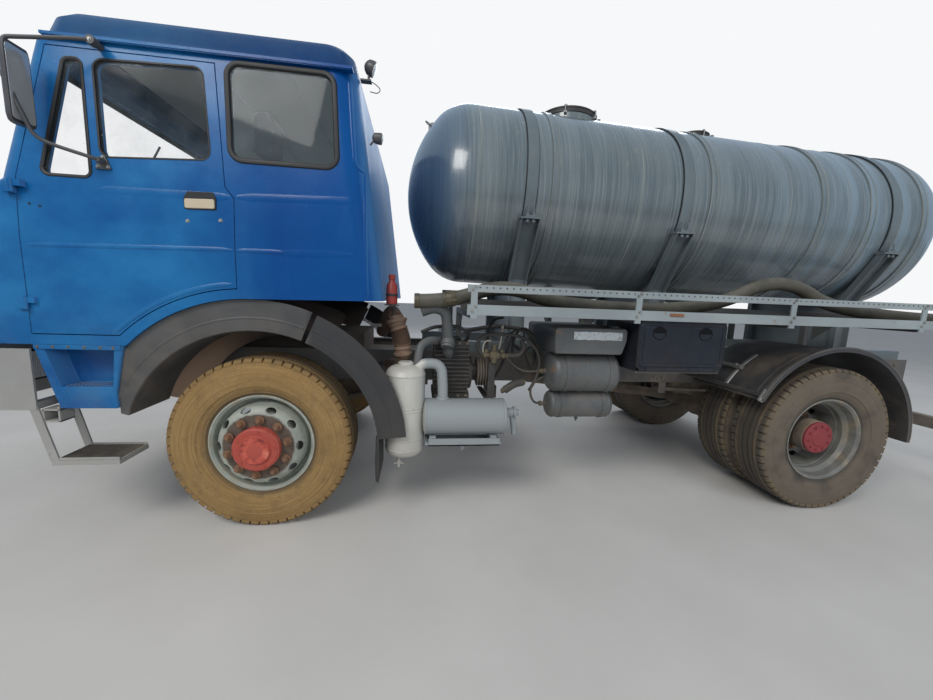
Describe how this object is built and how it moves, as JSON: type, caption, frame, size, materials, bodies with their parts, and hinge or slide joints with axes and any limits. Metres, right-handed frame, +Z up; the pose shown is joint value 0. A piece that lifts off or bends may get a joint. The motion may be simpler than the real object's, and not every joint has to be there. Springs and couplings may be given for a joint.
{
  "type": "tanker truck",
  "caption": "Vacuum tanker truck with tilting sleeper cab, domed glass-fibre tank on saddles, side hose trays, suction hose, pump, separators, steered front wheels and paired rear wheels.",
  "frame": {"origin": "centre of the overall box at ground level", "axes": "-X to the front, +X to the rear, +Y to the truck's right, +Z up"},
  "size_m": [7.0107, 2.69, 3.0165],
  "materials": {
    "cab_blue": "repainted blue gloss",
    "chassis_grey": "dark grey chassis paint",
    "equipment_grey": "light grey paint",
    "tray_grey": "grey paint, chipped",
    "silver": "silver grey paint",
    "wheel_silver": "silver paint, hub red oxide",
    "wheel_grey": "grey paint, hub red oxide",
    "rust_black": "dirty dark iron",
    "pump_black": "black paint",
    "toolbox_blue": "dark blue black paint",
    "grp": "grey green glass fibre laminate",
    "black_plastic": "dark moulded plastic",
    "mirror_black": "black",
    "interior": "dark interior plastic",
    "fabric": "worn cloth",
    "glass": "clear glass",
    "lamp": "lamp lens",
    "tail_lamp": "red lens",
    "tyre": "dusty rubber",
    "hose": "olive brown suction hose"
  },
  "bodies": {
    "chassis": {"chassis_frame": "chassis_grey", "tank_cradles": "tray_grey", "tank": "grp", "front_axle": "rust_black", "rear_axle": "rust_black", "drivetrain": "rust_black", "vacuum_pump": "pump_black", "separators": "equipment_grey", "air_reservoirs": "tray_grey", "box_tank": "equipment_grey", "fuel_tank": "tray_grey", "hose_trays": "tray_grey", "suction_hose": "hose", "toolbox": "toolbox_blue", "rear_mudguards": "black_plastic", "arch_rears": "black_plastic", "front_bumper": "silver", "headlamps": "lamp", "tail_lamps": "tail_lamp"},
    "toolbox_door": {"toolbox_lid": "toolbox_blue"},
    "front_lid": {"manhole_lid_front": "grp"},
    "rear_lid": {"manhole_lid_rear": "grp"},
    "cab": {"cab_shell": "cab_blue", "cab_glass": "glass", "seats": "fabric", "dashboard": "interior", "step_boxes": "cab_blue", "arch_fronts": "black_plastic"},
    "left_door": {"door_left": "cab_blue", "door_glass_left": "glass", "mirror_left": "mirror_black"},
    "right_door": {"door_right": "cab_blue", "door_glass_right": "glass", "mirror_right": "mirror_black"},
    "left_knuckle": {"knuckle_left": "rust_black"},
    "right_knuckle": {"knuckle_right": "rust_black"},
    "steering_rod": {"track_rod": "rust_black"},
    "front_left_wheel": {"wheel_front_left": "wheel_silver", "tyre_front_left": "tyre"},
    "front_right_wheel": {"wheel_front_right": "wheel_silver", "tyre_front_right": "tyre"},
    "rear_left_wheel": {"wheel_rear_left": "wheel_grey", "tyre_rear_left": "tyre"},
    "rear_right_wheel": {"wheel_rear_right": "wheel_grey", "tyre_rear_right": "tyre"}
  },
  "joints": [
    {"name": "cab_tilt", "type": "hinge", "parent": "chassis", "child": "cab", "pos_m": [-3.42, 0, 1.12], "axis": [0, -1, 0], "range_deg": [0, 55]},
    {"name": "left_door_swing", "type": "hinge", "parent": "cab", "child": "left_door", "pos_m": [-3.1425, -1.236, 1.4], "axis": [0, 0, -1], "range_deg": [0, 70]},
    {"name": "right_door_swing", "type": "hinge", "parent": "cab", "child": "right_door", "pos_m": [-3.1425, 1.236, 1.4], "axis": [0, 0, 1], "range_deg": [0, 70]},
    {"name": "left_steer", "type": "hinge", "parent": "chassis", "child": "left_knuckle", "pos_m": [-2.095, -0.86, 0.522], "axis": [0, 0, 1], "range_deg": [-35, 35]},
    {"name": "right_steer", "type": "hinge", "parent": "chassis", "child": "right_knuckle", "pos_m": [-2.095, 0.86, 0.522], "axis": [0, 0, 1], "range_deg": [-35, 35]},
    {"name": "rod_swing", "type": "hinge", "parent": "left_knuckle", "child": "steering_rod", "pos_m": [-1.905, -0.86, 0.42], "axis": [0, 0, 1], "range_deg": [-35, 35]},
    {"name": "front_left_spin", "type": "hinge", "parent": "left_knuckle", "child": "front_left_wheel", "pos_m": [-2.095, -1.012, 0.522], "axis": [0, 1, 0], "continuous": true},
    {"name": "front_right_spin", "type": "hinge", "parent": "right_knuckle", "child": "front_right_wheel", "pos_m": [-2.095, 1.012, 0.522], "axis": [0, 1, 0], "continuous": true},
    {"name": "rear_left_spin", "type": "hinge", "parent": "chassis", "child": "rear_left_wheel", "pos_m": [1.705, -0.895, 0.522], "axis": [0, 1, 0], "continuous": true},
    {"name": "rear_right_spin", "type": "hinge", "parent": "chassis", "child": "rear_right_wheel", "pos_m": [1.705, 0.895, 0.522], "axis": [0, 1, 0], "continuous": true},
    {"name": "toolbox_door_swing", "type": "hinge", "parent": "chassis", "child": "toolbox_door", "pos_m": [0.51, -1.182, 1.01], "axis": [1, 0, 0], "range_deg": [0, 110]},
    {"name": "front_lid_swing", "type": "hinge", "parent": "chassis", "child": "front_lid", "pos_m": [0.3357, 0, 2.99515], "axis": [0, 1, 0], "range_deg": [0, 100]},
    {"name": "rear_lid_swing", "type": "hinge", "parent": "chassis", "child": "rear_lid", "pos_m": [1.43027, 0, 2.96458], "axis": [0, 1, 0], "range_deg": [0, 100]}
  ],
  "couplings": [
    {"joint": "right_steer", "follows": "left_steer", "ratio": 1},
    {"joint": "rod_swing", "follows": "left_steer", "ratio": -1}
  ]
}
